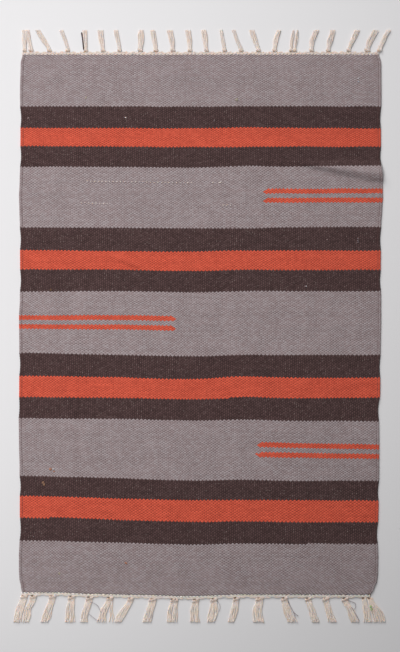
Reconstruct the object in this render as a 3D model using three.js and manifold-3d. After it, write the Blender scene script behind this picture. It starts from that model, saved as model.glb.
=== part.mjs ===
import * as THREE from 'three';
import { mergeVertices } from 'three/addons/utils/BufferGeometryUtils.js';
import Module from 'manifold-3d';

// A kilim rug lying on the floor, in millimetres: X to its right, Y to its upper end, Z up.
// All places are first given from the middle of the woven part. The origin ends up on the floor,
// under the middle of the whole rug with its fringes.

// Driving sizes of the cloth
const WOVEN_WIDTH = 600;
const CLOTH_THICKNESS = 3.0;
const END_THICKNESS = 2.6;
const BROWN_PULL_IN = 1.5;
// The shares of the length where the picks leave the straight, and where they follow the lower end's line
const STRAIGHT_SHARE = 0.3;
const SAGGED_SHARE = 0.85;

// Driving sizes of the fringes
const PIECE_GAP = 0.3;
const HEADING_WIDTH = 2.6;
const HEADING_BULGE = 0.8;
const HEADING_HEIGHT = 2.5;
const HEADING_EDGE_HEIGHT = 1.5;
const HEADING_CLOSEST = 1.2;
const KNOT_LENGTH = 4.0;
const KNOT_HEIGHT = 3.2;
const KNOT_TOP_SHARE = 0.7;
const KNOT_SINK = 1.2;
const ROOT_SINK = 0.4;
const KNOT_MARGIN = 0.8;
const STRAND_WIDTH = 1.0;
const STRAND_HEIGHTS = [1.5, 2.1];
const STRAND_GAP = 0.35;
const STRAND_STEPS = 2;
const UPPER_TASSEL_LENGTH = 38.3;
const LOWER_TASSEL_LENGTH = 40.6;
const TASSEL_BEND = 0.25;
const TIP_UNEVENNESS = 0.9;
// How far the tips' wave turns from one tassel, and from one strand, to the next, in radians
const TASSEL_TURN = 2.3;
const STRAND_TURN = 1.7;

// How far apart the points of the cloth lie: at most this far, and closer where it ripples
const WIDEST_ROW = 40;
const WIDEST_COLUMN = 75;
const CLOSEST_POINTS = 4;

const GREY = new THREE.Color('rgb(148, 135, 137)');
const ECRU = new THREE.Color('rgb(214, 198, 184)');

// The woven bands from the upper end to the lower end
const BANDS = [
  { yarn: 'grey', depth: 84.7 },
  { yarn: 'brown', depth: 36.4 },
  { yarn: 'orange', depth: 31.4 },
  { yarn: 'brown', depth: 34.7 },
  { yarn: 'grey', depth: 99.2 },
  { yarn: 'brown', depth: 39.7 },
  { yarn: 'orange', depth: 31.4 },
  { yarn: 'brown', depth: 34.7 },
  { yarn: 'grey', depth: 105.8 },
  { yarn: 'brown', depth: 38 },
  { yarn: 'orange', depth: 33 },
  { yarn: 'brown', depth: 36.4 },
  { yarn: 'grey', depth: 97.5 },
  { yarn: 'brown', depth: 34.7 },
  { yarn: 'orange', depth: 34.7 },
  { yarn: 'brown', depth: 38 },
  { yarn: 'grey', depth: 84.3 },
];

// How far each side edge lies inside the straight line of the full width, down the rug
const EDGE_DRIFT = [
  { along: 448, left: 5.0, right: 3.5 },
  { along: 434, left: 1.6, right: 0.2 },
  { along: 300, left: 1.0, right: 1.2 },
  { along: 240, left: 0.4, right: -2.8 },
  { along: 213, left: -1.4, right: -1.8 },
  { along: 170, left: 0.2, right: 0.2 },
  { along: 70, left: 0.9, right: 0.7 },
  { along: 15, left: -1.3, right: 0.2 },
  { along: -50, left: 0.2, right: 1.2 },
  { along: -140, left: 0.0, right: 3.2 },
  { along: -200, left: -0.8, right: 3.2 },
  { along: -300, left: 0.2, right: 4.8 },
  { along: -390, left: -0.9, right: 5.0 },
  { along: -424, left: 0.6, right: 6.9 },
  { along: -438, left: 3.0, right: 12.0 },
  { along: -449, left: 4.6, right: 18.5 },
];

// How much higher than straight the last pick of the lower end lies, across the rug
const LOWER_END = [
  { across: -300, rise: 6.3 },
  { across: -240, rise: 6 },
  { across: -180, rise: 3.8 },
  { across: -100, rise: 2 },
  { across: -20, rise: 0 },
  { across: 70, rise: 2.7 },
  { across: 300, rise: 2.3 },
];

// The corded side edge, from its outer face inwards: heights of its top and its underside
const SELVEDGE = [
  { inset: 0, top: 2.1, under: 0.9 },
  { inset: 1.6, top: 3.3, under: 0 },
  { inset: 4.2, top: 3.3, under: 0 },
  { inset: 5.9, top: 2.4, under: 0 },
  { inset: 7.8, top: CLOTH_THICKNESS, under: 0 },
];

// Ripples that lift the cloth: one that runs into the upper right edge, and a short one across the second
// orange band. The crest runs from one place to the other. The height is given at its start, middle and end,
// and the width of its soft upper slope and its steep lower slope at its start and end.
const RIPPLES = [
  {
    from: { across: 172, along: 263 },
    to: { across: 303, along: 249 },
    heights: [0, 2.2, 5.0],
    softSlope: [8, 26],
    steepSlope: [4, 14],
    columnStep: 27,
  },
  {
    from: { across: -152, along: 117 },
    to: { across: -94, along: 94 },
    heights: [0, 2.2, 0],
    softSlope: [9, 9],
    steepSlope: [8, 8],
    columnStep: 15,
  },
];
const RIPPLE_ROW_STEP = 8;

// Tassels, left to right: where each leaves the heading, where its tip lies, the width there and its strands
const UPPER_TASSELS = [
  { root: -289.5, tip: -294.5, width: 4, strands: 3 },
  { root: -277.5, tip: -287.5, width: 4, strands: 3 },
  { root: -250, tip: -271, width: 8, strands: 6 },
  { root: -220.5, tip: -230, width: 8, strands: 6 },
  { root: -190, tip: -191.5, width: 10, strands: 6 },
  { root: -162.5, tip: -164.5, width: 10, strands: 6 },
  { root: -133.5, tip: -137.5, width: 8.5, strands: 6 },
  { root: -99, tip: -97.5, width: 9, strands: 6 },
  { root: -73, tip: -76.5, width: 9, strands: 6 },
  { root: -44, tip: -49, width: 9.5, strands: 6 },
  { root: -16, tip: -18.5, width: 9, strands: 6 },
  { root: 10.5, tip: 6, width: 9, strands: 6 },
  { root: 41, tip: 36.5, width: 8, strands: 6 },
  { root: 69, tip: 55.5, width: 8, strands: 6 },
  { root: 98, tip: 85.5, width: 8.5, strands: 6 },
  { root: 125, tip: 130, width: 8.5, strands: 6 },
  { root: 154, tip: 156.5, width: 13, strands: 7 },
  { root: 185, tip: 192.5, width: 8.5, strands: 6 },
  { root: 212.5, tip: 221, width: 8, strands: 6 },
  { root: 247, tip: 260.5, width: 8.5, strands: 6 },
  { root: 279, tip: 291.5, width: 8.5, strands: 6 },
  { root: 293, tip: 310.5, width: 5.5, strands: 4 },
];
const LOWER_TASSELS = [
  { root: -288.5, tip: -302, width: 11, strands: 7 },
  { root: -276, tip: -285, width: 7, strands: 5 },
  { root: -244.5, tip: -257.5, width: 10.5, strands: 7 },
  { root: -213, tip: -214, width: 13.5, strands: 8 },
  { root: -183.5, tip: -193, width: 12, strands: 7 },
  { root: -150, tip: -161.5, width: 14, strands: 8 },
  { root: -115, tip: -137, width: 10, strands: 6 },
  { root: -80, tip: -87.5, width: 12, strands: 7 },
  { root: -43, tip: -46, width: 14, strands: 8 },
  { root: -8, tip: -9, width: 12, strands: 7 },
  { root: 24.5, tip: 19, width: 12.5, strands: 7 },
  { root: 61.5, tip: 53, width: 11, strands: 7 },
  { root: 99, tip: 96, width: 14, strands: 8 },
  { root: 140.5, tip: 154.5, width: 12, strands: 7 },
  { root: 179.5, tip: 189, width: 10, strands: 6 },
  { root: 209, tip: 219, width: 10.5, strands: 7 },
  { root: 242, tip: 257, width: 11, strands: 7 },
  { root: 266, tip: 278.5, width: 11.5, strands: 6 },
  { root: 277.5, tip: 295, width: 19, strands: 8 },
];

const WOVEN_LENGTH = BANDS.reduce((sum, band) => sum + band.depth, 0);
const UPPER_END = WOVEN_LENGTH / 2;
const HALF_WIDTH = WOVEN_WIDTH / 2;
const SELVEDGE_WIDTH = SELVEDGE.at(-1).inset;

const wasm = await Module();
wasm.setup();

// A value from a table at a place between its rows, eased from one row to the next
function readTable(table, placeColumn, place, valueColumn) {
  const rows = table.toSorted((a, b) => a[placeColumn] - b[placeColumn]);
  if (place <= rows[0][placeColumn]) return rows[0][valueColumn];
  const next = rows.findIndex((row) => row[placeColumn] > place);
  if (next < 0) return rows.at(-1)[valueColumn];
  const [before, after] = [rows[next - 1], rows[next]];
  const share = THREE.MathUtils.smoothstep(place, before[placeColumn], after[placeColumn]);
  return THREE.MathUtils.lerp(before[valueColumn], after[valueColumn], share);
}

// Where each band begins and ends, from the upper end down
function layBands() {
  let along = UPPER_END;
  return BANDS.map(({ yarn, depth }) => {
    const start = along;
    along -= depth;
    return { yarn, start, end: along };
  });
}

const laidBands = layBands();

// The brown yarn draws the edge in, most at the middle of its band
function bandPullIn(along) {
  const band = laidBands.find(({ start, end }) => along <= start && along > end);
  if (band?.yarn !== 'brown') return 0;
  return BROWN_PULL_IN * Math.sin((Math.PI * (band.start - along)) / (band.start - band.end));
}

function edgeAt(side, along) {
  const drift = readTable(EDGE_DRIFT, 'along', along, side < 0 ? 'left' : 'right');
  return side * (HALF_WIDTH - drift - bandPullIn(along));
}

// The picks lie straight at the upper end and follow the lower end's line more and more
function pickLine(across, along) {
  const lengthShare = (UPPER_END - along) / WOVEN_LENGTH;
  const share = THREE.MathUtils.smoothstep(lengthShare, STRAIGHT_SHARE, SAGGED_SHARE);
  return along + share * readTable(LOWER_END, 'across', across, 'rise');
}

function heightAlongCrest(heights, share) {
  const place = THREE.MathUtils.clamp(share, 0, 1) * (heights.length - 1);
  const first = Math.min(Math.floor(place), heights.length - 2);
  return THREE.MathUtils.lerp(heights[first], heights[first + 1], place - first);
}

// How far the ripples lift the cloth off the floor
function liftAt(across, along) {
  let lift = 0;
  for (const { from, to, heights, softSlope, steepSlope } of RIPPLES) {
    const run = new THREE.Vector2(to.across - from.across, to.along - from.along);
    const place = new THREE.Vector2(across - from.across, along - from.along);
    const share = place.dot(run) / run.lengthSq();
    const aside = run.cross(place) / run.length();
    const [start, end] = aside > 0 ? softSlope : steepSlope;
    const slope = THREE.MathUtils.lerp(start, end, THREE.MathUtils.clamp(share, 0, 1));
    const fall = Math.min(Math.abs(aside) / slope, 1);
    lift += heightAlongCrest(heights, share) * 0.5 * (1 + Math.cos(Math.PI * fall));
  }
  return lift;
}

// Places in order from low to high: the fixed ones, and more between them where they are far apart
function stations(fixed, widest, zones) {
  const wanted = [...fixed];
  for (const { low, high, step } of zones) {
    const count = Math.ceil((high - low) / step);
    for (let i = 0; i <= count; i += 1) {
      wanted.push(low + ((high - low) * i) / count);
    }
  }
  const inside = wanted.filter((place) => place >= fixed[0] && place <= fixed.at(-1));
  const kept = [fixed[0]];
  for (const place of inside.sort((a, b) => a - b)) {
    const last = kept.at(-1);
    const count = Math.ceil((place - last) / widest);
    if (place - last < CLOSEST_POINTS) continue;
    for (let i = 1; i <= count; i += 1) {
      kept.push(last + ((place - last) * i) / count);
    }
  }
  kept[kept.length - 1] = fixed.at(-1);
  return kept;
}

function rippleZones(direction, step) {
  return RIPPLES.map(({ from, to, softSlope, steepSlope, columnStep }) => {
    const reach = direction === 'along' ? Math.max(...softSlope, ...steepSlope) : 0;
    return {
      low: Math.min(from[direction], to[direction]) - reach,
      high: Math.max(from[direction], to[direction]) + reach,
      step: step ?? columnStep,
    };
  });
}

// Columns of points across the cloth: the two corded edges and the flat ground between them
function clothColumns() {
  const flat = HALF_WIDTH - SELVEDGE_WIDTH;
  const ground = stations([-flat, flat], WIDEST_COLUMN, rippleZones('across'))
    .slice(1, -1)
    .map((across) => ({ share: (across + flat) / (2 * flat), top: CLOTH_THICKNESS, under: 0 }));
  const left = SELVEDGE.map((row) => ({ ...row, side: -1 }));
  const right = SELVEDGE.map((row) => ({ ...row, side: 1 })).reverse();
  return [...left, ...ground, ...right];
}

function columnPlace(column, along) {
  const left = edgeAt(-1, along);
  const right = edgeAt(1, along);
  if (column.side === -1) return left + column.inset;
  if (column.side === 1) return right - column.inset;
  return THREE.MathUtils.lerp(left + SELVEDGE_WIDTH, right - SELVEDGE_WIDTH, column.share);
}

// A closed sheet of points in columns and rows, placed one by one. Row 0 is the upper one.
function sheetGeometry(columnCount, rowCount, place) {
  const sheet = new THREE.BoxGeometry(1, 1, 1, columnCount - 1, rowCount - 1, 1);
  const points = sheet.attributes.position;
  for (let i = 0; i < points.count; i += 1) {
    const column = Math.round((points.getX(i) + 0.5) * (columnCount - 1));
    const row = Math.round((0.5 - points.getY(i)) * (rowCount - 1));
    points.setXYZ(i, ...place(column, row, points.getZ(i) > 0));
  }
  return sheet;
}

const columns = clothColumns();

function wovenGround() {
  const bandPlaces = laidBands.flatMap(({ start, end }) => [start, (start + end) / 2]);
  const fixed = [...bandPlaces, -UPPER_END].reverse();
  const rows = stations(fixed, WIDEST_ROW, rippleZones('along', RIPPLE_ROW_STEP)).reverse();
  return sheetGeometry(columns.length, rows.length, (column, row, isTop) => {
    const { top, under } = columns[column];
    const across = columnPlace(columns[column], rows[row]);
    const along = pickLine(across, rows[row]);
    const isEnd = row === 0 || row === rows.length - 1;
    const height = isEnd ? Math.min(top, END_THICKNESS) : top;
    return [across, along, (isTop ? height : under) + liftAt(across, along)];
  });
}

// The line of the cloth's end: its corner points and everything between them
function endLine(end) {
  return columns.map((column) => {
    const across = columnPlace(column, end * UPPER_END);
    return { across, along: pickLine(across, end * UPPER_END) };
  });
}

function readLine(line, across) {
  const next = THREE.MathUtils.clamp(line.findIndex((point) => point.across >= across), 1, line.length - 1);
  const before = line[next - 1];
  const after = line[next];
  const share = (across - before.across) / (after.across - before.across);
  return THREE.MathUtils.lerp(before.along, after.along, share);
}

// The gathered warps along the cloth's end: a narrow bar, wider where a tassel leaves it
function headingGeometry(end, line, tassels) {
  const roots = tassels.map(({ root }) => root);
  const between = roots.slice(1).map((root, i) => (root + roots[i]) / 2);
  const clothPlaces = line.map(({ across }) => across);
  const isClear = (place) => clothPlaces.every((other) => Math.abs(other - place) > HEADING_CLOSEST);
  const places = [...clothPlaces, ...[...roots, ...between].filter(isClear)].sort((a, b) => a - b);
  const profile = [
    { away: 1, height: HEADING_EDGE_HEIGHT },
    { away: 0.5, height: HEADING_HEIGHT },
    { away: 0, height: END_THICKNESS - PIECE_GAP },
  ];
  const rows = end > 0 ? profile : [...profile].reverse();
  return sheetGeometry(places.length, rows.length, (column, row, isTop) => {
    const across = places[column];
    const isRoot = roots.some((root) => Math.abs(root - across) <= HEADING_CLOSEST);
    const width = HEADING_WIDTH + (isRoot ? HEADING_BULGE : 0);
    const along = readLine(line, across) + end * (PIECE_GAP + rows[row].away * width);
    return [across, along, isTop ? rows[row].height : 0];
  });
}

// The knot at a tassel's root: a squat lump that sits flat on the floor, its outer face towards the strands
function knotGeometry(end, width) {
  const side = width / 2;
  const top = side * KNOT_TOP_SHARE;
  const section = new THREE.Shape();
  section.moveTo(-side, 0);
  section.lineTo(side, 0);
  section.lineTo(side, KNOT_HEIGHT / 2);
  section.lineTo(top, KNOT_HEIGHT);
  section.lineTo(-top, KNOT_HEIGHT);
  section.lineTo(-side, KNOT_HEIGHT / 2);
  const knot = new THREE.ExtrudeGeometry(section, { depth: KNOT_LENGTH, bevelEnabled: false });
  knot.rotateX(Math.PI / 2);
  knot.translate(0, end > 0 ? KNOT_LENGTH : 0, 0);
  return knot;
}

// One strand: a three-sided lock whose flat side lies on the floor all the way
function strandGeometry(start, bend, tip, height) {
  const section = new THREE.Shape();
  section.moveTo(0, -STRAND_WIDTH / 2);
  section.lineTo(0, STRAND_WIDTH / 2);
  section.lineTo(-height, 0);
  const extrudePath = new THREE.QuadraticBezierCurve3(start, bend, tip);
  return new THREE.ExtrudeGeometry(section, { steps: STRAND_STEPS, bevelEnabled: false, extrudePath });
}

// A tassel: its knot at the heading, and its strands side by side with gaps between them
function tasselGeometries(end, line, length, tassel, order) {
  const { root, tip, width, strands } = tassel;
  const knotPlace = readLine(line, root) + end * (PIECE_GAP + HEADING_WIDTH - KNOT_SINK);
  const rootPlace = knotPlace + end * (KNOT_LENGTH - ROOT_SINK);
  const tipPlace = end * (UPPER_END + PIECE_GAP + HEADING_WIDTH + length);
  const rootPitch = STRAND_WIDTH + STRAND_GAP;
  const tipPitch = Math.max((width - STRAND_WIDTH) / (strands - 1), rootPitch);
  const knot = knotGeometry(end, rootPitch * strands + KNOT_MARGIN);
  knot.translate(root, knotPlace, 0);
  const pieces = [knot];
  for (let i = 0; i < strands; i += 1) {
    const aside = i - (strands - 1) / 2;
    const shortfall = TIP_UNEVENNESS * Math.sin(order * TASSEL_TURN + i * STRAND_TURN) ** 2;
    const start = new THREE.Vector3(root + aside * rootPitch, rootPlace, 0);
    const finish = new THREE.Vector3(tip + aside * tipPitch, tipPlace - end * shortfall, 0);
    const bend = start.clone().lerp(finish, 0.5);
    bend.x = THREE.MathUtils.lerp(bend.x, start.x, TASSEL_BEND);
    pieces.push(strandGeometry(start, bend, finish, STRAND_HEIGHTS[i % STRAND_HEIGHTS.length]));
  }
  return pieces;
}

function toSolid(geometry) {
  geometry.deleteAttribute('normal');
  geometry.deleteAttribute('uv');
  const merged = mergeVertices(geometry);
  return new wasm.Manifold(new wasm.Mesh({
    numProp: 3,
    vertProperties: Float32Array.from(merged.attributes.position.array),
    triVerts: Uint32Array.from(merged.index.array),
  }));
}

function toGeometry(solid) {
  const { vertProperties, triVerts } = solid.getMesh();
  const geometry = new THREE.BufferGeometry();
  geometry.setAttribute('position', new THREE.BufferAttribute(vertProperties, 3));
  geometry.setIndex(new THREE.BufferAttribute(triVerts, 1));
  geometry.computeVertexNormals();
  return geometry;
}

function fringe(end, tassels, length) {
  const line = endLine(end);
  const tasselPieces = tassels.flatMap((tassel, order) => tasselGeometries(end, line, length, tassel, order));
  const pieces = [headingGeometry(end, line, tassels), ...tasselPieces];
  return toGeometry(pieces.map(toSolid).reduce((joined, piece) => joined.add(piece)));
}

function clothMesh(name, geometry, color) {
  const material = new THREE.MeshStandardMaterial({ color, roughness: 0.95, metalness: 0 });
  const mesh = new THREE.Mesh(geometry, material);
  mesh.name = name;
  return mesh;
}

const rug = new THREE.Group();
rug.add(clothMesh('woven_ground', wovenGround(), GREY));
rug.add(clothMesh('upper_fringe', fringe(1, UPPER_TASSELS, UPPER_TASSEL_LENGTH), ECRU));
rug.add(clothMesh('lower_fringe', fringe(-1, LOWER_TASSELS, LOWER_TASSEL_LENGTH), ECRU));

const middle = new THREE.Box3().setFromObject(rug).getCenter(new THREE.Vector3());
rug.position.set(-middle.x, -middle.y, 0);

export default rug;
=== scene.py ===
"""A small striped kilim rug on a pale floor: its cloth, its knotted fringes and what clings to them.

Places on the rug are given in millimetres from the middle of the woven part, across it (X) and along it (Y,
towards the upper end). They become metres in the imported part's frame where a mesh gets its points."""
import math
import random
from types import SimpleNamespace

import bmesh
import bpy
import numpy as np
from bpy.props import FloatProperty, FloatVectorProperty
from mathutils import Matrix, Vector


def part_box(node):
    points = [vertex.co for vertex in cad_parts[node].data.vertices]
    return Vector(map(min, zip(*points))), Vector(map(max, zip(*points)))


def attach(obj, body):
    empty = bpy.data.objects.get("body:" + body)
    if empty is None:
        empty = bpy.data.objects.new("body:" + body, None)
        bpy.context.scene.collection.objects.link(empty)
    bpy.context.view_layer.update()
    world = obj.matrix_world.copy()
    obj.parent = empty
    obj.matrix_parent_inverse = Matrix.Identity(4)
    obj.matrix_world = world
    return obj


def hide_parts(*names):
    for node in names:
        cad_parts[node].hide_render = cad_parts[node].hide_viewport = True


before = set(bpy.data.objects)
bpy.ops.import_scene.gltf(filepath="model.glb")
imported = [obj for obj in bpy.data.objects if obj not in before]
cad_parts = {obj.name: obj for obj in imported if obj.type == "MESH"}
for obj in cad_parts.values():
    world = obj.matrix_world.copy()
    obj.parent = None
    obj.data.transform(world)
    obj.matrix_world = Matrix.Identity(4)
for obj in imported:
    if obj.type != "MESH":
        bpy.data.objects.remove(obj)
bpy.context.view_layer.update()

bl_info = {
    "name": "Kilim Rug",
    "version": (1, 0, 0),
    "blender": (4, 5, 0),
    "location": "3D View > Sidebar > Kilim",
    "description": "Weaves a striped kilim rug, knots its fringes and lays it on a pale floor",
    "category": "Add Mesh",
}

MM = 0.001

# Driving sizes of the cloth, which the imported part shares
WOVEN_WIDTH = 600
HALF_WIDTH = WOVEN_WIDTH / 2
UPPER_END = 447.3
WOVEN_LENGTH = 2 * UPPER_END
BROWN_PULL_IN = 1.5
STRAIGHT_SHARE = 0.3
SAGGED_SHARE = 0.85

# How far each side edge lies inside the straight line of the full width: along, left, right
EDGE_DRIFT = np.array([
    (448, 5.8, 4.9), (434, 2.5, 1.4), (385, 1.3, 1), (315, 2.2, 1.8), (265, 1.6, 1.1), (240, 0.9, -1.2),
    (213, -0.3, -1.4), (190, 0.4, -0.2), (170, 1.1, 1.3), (95, 1.6, 2.1), (40, 1.2, 1.6), (15, -0.2, 1.5),
    (-50, 0.3, 2.4), (-110, 0.1, 2.9), (-140, -0.9, 4.9), (-200, -0.3, 4.5), (-240, 0.7, 4.7),
    (-300, 1.1, 5.6), (-350, 1.1, 6.9), (-390, -0.4, 6.3), (-410, -0.4, 6.6), (-424, 0.3, 7.9),
    (-438, 3, 13), (-449, 4.6, 19.5),
][::-1]).T
# How far the solid's left edge swells past that line, which places the rug's middle in the frame
SOLID_SWELL = 1.4

# How much higher than straight the lower end lies: across, rise
LOWER_END = np.array([
    (-300, 6.3), (-240, 6), (-180, 3.8), (-100, 2), (-20, 0), (70, 2.7), (300, 2.3),
]).T

# Ripples: the crest's two ends, and at four places along it the height, both slopes' widths and the foot
RIPPLES = [
    {"start": (155, 268), "end": (303, 249.8), "heights": (0, 5.2, 7.1, 7.4), "soft": (6, 14, 22, 28),
     "steep": (3, 8, 12.5, 14), "foot": (0, 0.1, 0.5, 1)},
    {"start": (-152, 117), "end": (-94, 94), "heights": (0, 2.2, 2.2, 0), "soft": (9, 10, 10, 9),
     "steep": (4, 6, 6, 4), "foot": (0, 0.4, 0.4, 0)},
]

# The places across the rug where the borders between zones were measured
ACROSS_STATIONS = (-281, -141, 0, 69, 140, 278)
# The zones from the upper end down: yarn, picks, side of its short orange lines, lower border at each place
ZONES = [
    ("grey", 45, "", (361.8, 361.9, 361.6, 362.2, 362.1, 362)),
    ("brown", 19, "", (326.5, 326.3, 325.9, 327, 326.5, 325.2)),
    ("orange", 17, "", (296.3, 295.6, 294.8, 295.1, 295.4, 295.4)),
    ("brown", 18, "", (262.1, 262.2, 260.8, 263, 262.9, 263.8)),
    ("grey", 18, "", (225, 225, 224.2, 225.2, 225.6, 226.2)),
    ("grey", 12, "right", (202.5, 202.4, 201.8, 202.4, 203.1, 203.3)),
    ("grey", 20, "", (161.6, 161.4, 160.5, 160.2, 161.9, 162.7)),
    ("brown", 19, "", (124.5, 122.7, 122, 123.5, 123.4, 123.5)),
    ("orange", 16, "", (92.6, 92, 89.9, 91.5, 91.4, 91.7)),
    ("brown", 18, "", (55.8, 56.6, 55, 56.5, 56.6, 56.5)),
    ("grey", 20, "", (16.7, 16.8, 15.2, 16, 16, 16)),
    ("grey", 12, "left", (-5.5, -6.8, -9, -8, -8, -8)),
    ("grey", 20, "", (-45.6, -48.7, -50.9, -49, -49.1, -48.9)),
    ("brown", 18, "", (-83.7, -85.6, -88.7, -84.2, -86.4, -86.4)),
    ("orange", 16, "", (-116.4, -117.7, -119.9, -118.2, -119.9, -119.4)),
    ("brown", 17, "", (-153.3, -155, -157.2, -155.8, -157.3, -158.4)),
    ("grey", 18, "", (-188.6, -191.1, -193, -192.2, -194, -197)),
    ("grey", 12, "right", (-212.4, -215.3, -218.2, -217.5, -218.6, -220.6)),
    ("grey", 18, "", (-248.6, -252.6, -256.4, -255.6, -256.8, -256.8)),
    ("brown", 15, "", (-282, -286, -289.3, -288.2, -288.8, -290)),
    ("orange", 16, "", (-315.6, -321, -324.8, -324.2, -325, -325.6)),
    ("brown", 17, "", (-355.6, -359, -362.3, -360.6, -361.7, -363.7)),
    ("grey", 39, "", None),
]
YARNS = ("grey", "brown", "orange")
ZONE_YARNS = np.array([YARNS.index(zone[0]) for zone in ZONES])
FIRST_PICKS = np.cumsum([0] + [zone[1] for zone in ZONES])
PICKS = int(FIRST_PICKS[-1])

# A short line's picks, as many as to its fellow, and how many warps past its tip each of them ends
LINE_PICKS = 4
LINE_TAPERS = ((2, 1, 0, 1), (2, 0, 0, 1))
# Where the tip of each pair lies across the rug, from the upper pair down
LINE_TIPS = (103, -41, 95)
# Borders that step by one pick where the yarn was changed: zone above, from, to, picks gained
BORDER_STEPS = [(14, -400, 46, 1), (20, -400, -248, 1), (21, 175, 400, -1)]

# Warps between the two grooves
WARPS = 193
# How far the reed's marks move warps, in warps, over how many warps and from where in that wave
CROWDING = ((0.42, 37, 0.4), (0.22, 17, 1.9), (0.5, 83, 3))
# How far inside the side edge the groove beside its cord lies
GROOVE = 4.6
# The corded side edge from its outer face inwards: inset, height of its top, place in warps
SELVEDGE = [
    (0, 1.5, -2), (0.2, 2.25, -1.85), (0.6, 2.75, -1.6), (1.3, 3, -1.25),
    (2.1, 3.08, -0.9), (3, 3.02, -0.55), (3.9, 2.85, -0.25), (GROOVE, 2.6, 0),
]
# The underside's inset at the sides, and its grid
UNDER_INSET = 1.4
UNDER_WARP_STEP = 8
UNDER_PICK_STEP = 6
# Past the last pick the floats' tips lap over the heading, and the cloth dips between them
END_HEIGHT = 3.1
END_DIP = 0.6
TOOTH = 1.25
EDGE_SCALLOP = 0.18
FLOAT_JITTER = 0.06
# How far crossings wander out of line, and how unevenly the floats stand
WANDER = 0.24
PICK_WANDER = 0.16
UNEVEN_RELIEF = 0.4
# The bake map: scale and place of the upper face and of the underside, and how far the rim spreads out
UPPER_MAP = (0.96, (0.335, 0.5))
UNDER_MAP = (0.44, (0.84, 0.5))
RIM_SPREAD = 1.012

# The fringes; distances are from the cloth's end outwards
HEADING_PITCH = 12.2
GATHER_LINE = 4.5
KNOT_CENTRE = 7.9
KNOT_TURNS = 1.5
KNOT_LENGTH = 3.0
# The lowest that a strand's middle lies, and how much higher each further layer of a tassel lies
LOWEST = 0.85
LAYER_RISE = 0.65
# How far a ply's middle lies from its yarn's, in half thicknesses of the ply
PLY_GAP = 0.85
# The knot's turns: how high their middle lies, how far they rise and fall about it, and points to a turn
KNOT_HEIGHT = 1.75
KNOT_RISE = 1.3
KNOT_POINTS = 26
# How far left of the root the knot's hollow lies
HOLLOW_LEFT = 1.9
# Sides of the tubes of a ply, a heading cord's ply and a loose thread
PLY_SIDES = 5
CORD_SIDES = 7
THREAD_SIDES = 6

# Tassels from the left: across at root, middle and tip, width at the same, share of the root's warps
UPPER_TASSELS = [
    (-291, -291.5, -291, 5.5, 7.5, 8.5, 1),
    (-280.5, -283.5, -286.5, 7.5, 8, 8, 1),
    (-250, -259, -269.5, 7, 9, 9, 1),
    (-219.5, -223.5, -230, 6, 6, 7.3, 1),
    (-190, -190.5, -192, 6.5, 8.5, 9.3, 1),
    (-161.5, -164, -166, 6.5, 8.5, 10.8, 1),
    (-134, -136.5, -140, 6, 7.5, 7.3, 1),
    (-100, -98.5, -98, 7.5, 10, 8.3, 1),
    (-74, -76, -79, 7, 9, 9.3, 1),
    (-46, -48, -51, 7, 9.5, 10.3, 1),
    (-17.5, -18.5, -21, 6.5, 9.5, 9.8, 1),
    (9.5, 7.5, 5.5, 6.5, 10, 9.3, 1),
    (39.5, 36.5, 33.8, 6, 5.5, 5.5, 1),
    (67, 60.5, 54.8, 7, 6.5, 6.3, 1),
    (95.5, 90, 84.5, 6.5, 9, 8.8, 1),
    (122.5, 124.5, 129.8, 7, 9, 7, 1),
    (149.5, 151, 153.5, 5.5, 6.5, 5.2, 0.5),
    (155.5, 157.8, 160, 5.5, 6.5, 5.2, 0.5),
    (183.5, 185, 191.5, 7, 9.5, 9.8, 1),
    (211, 214.5, 219, 6.5, 9.5, 8.8, 1),
    (245, 251, 259, 6.5, 9.5, 10.3, 1),
    (275.5, 280.8, 289.5, 8.5, 11.5, 11.3, 1),
    (296, 302, 311.5, 7.5, 8, 6, 1),
]
LOWER_TASSELS = [
    (-292, -299.3, -303.3, 12, 13, 14, 1),
    (-276.5, -283.8, -289, 11.5, 11.5, 10.5, 1),
    (-245, -250.8, -258.3, 11.5, 12.5, 14, 1),
    (-213.5, -214.8, -216, 12, 15, 17, 1),
    (-183.5, -189.5, -193.5, 12, 13, 11.5, 1),
    (-150.5, -159.5, -163.3, 10.5, 12.5, 15, 0.7),
    (-146, -147, -145.5, 3, 6.5, 10.5, 0.3),
    (-115.5, -126.3, -137, 10.5, 13, 11.5, 1),
    (-79, -84, -88.5, 13, 14, 17, 1),
    (-46, -51.5, -51, 7, 8, 9.5, 0.5),
    (-40.3, -42.3, -43.3, 7, 8, 9.5, 0.5),
    (-8, -10.5, -9.5, 11.5, 13.5, 17, 1),
    (22, 21.3, 17, 12, 14.5, 16, 1),
    (59, 55.5, 51, 11, 12, 12, 1),
    (97.5, 94, 96, 13.5, 16.5, 19, 1),
    (139, 142.5, 151.8, 10.5, 14, 14.5, 1),
    (178, 184, 191, 11, 12.5, 11.5, 1),
    (207, 212, 218.5, 11, 12, 12.5, 1),
    (239, 247.5, 255.8, 11, 13, 13.5, 1),
    (270.5, 274.5, 277.5, 8.5, 12.5, 14.5, 0.42),
    (280.5, 289.5, 296, 10.5, 19.5, 21.5, 0.58),
]
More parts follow.
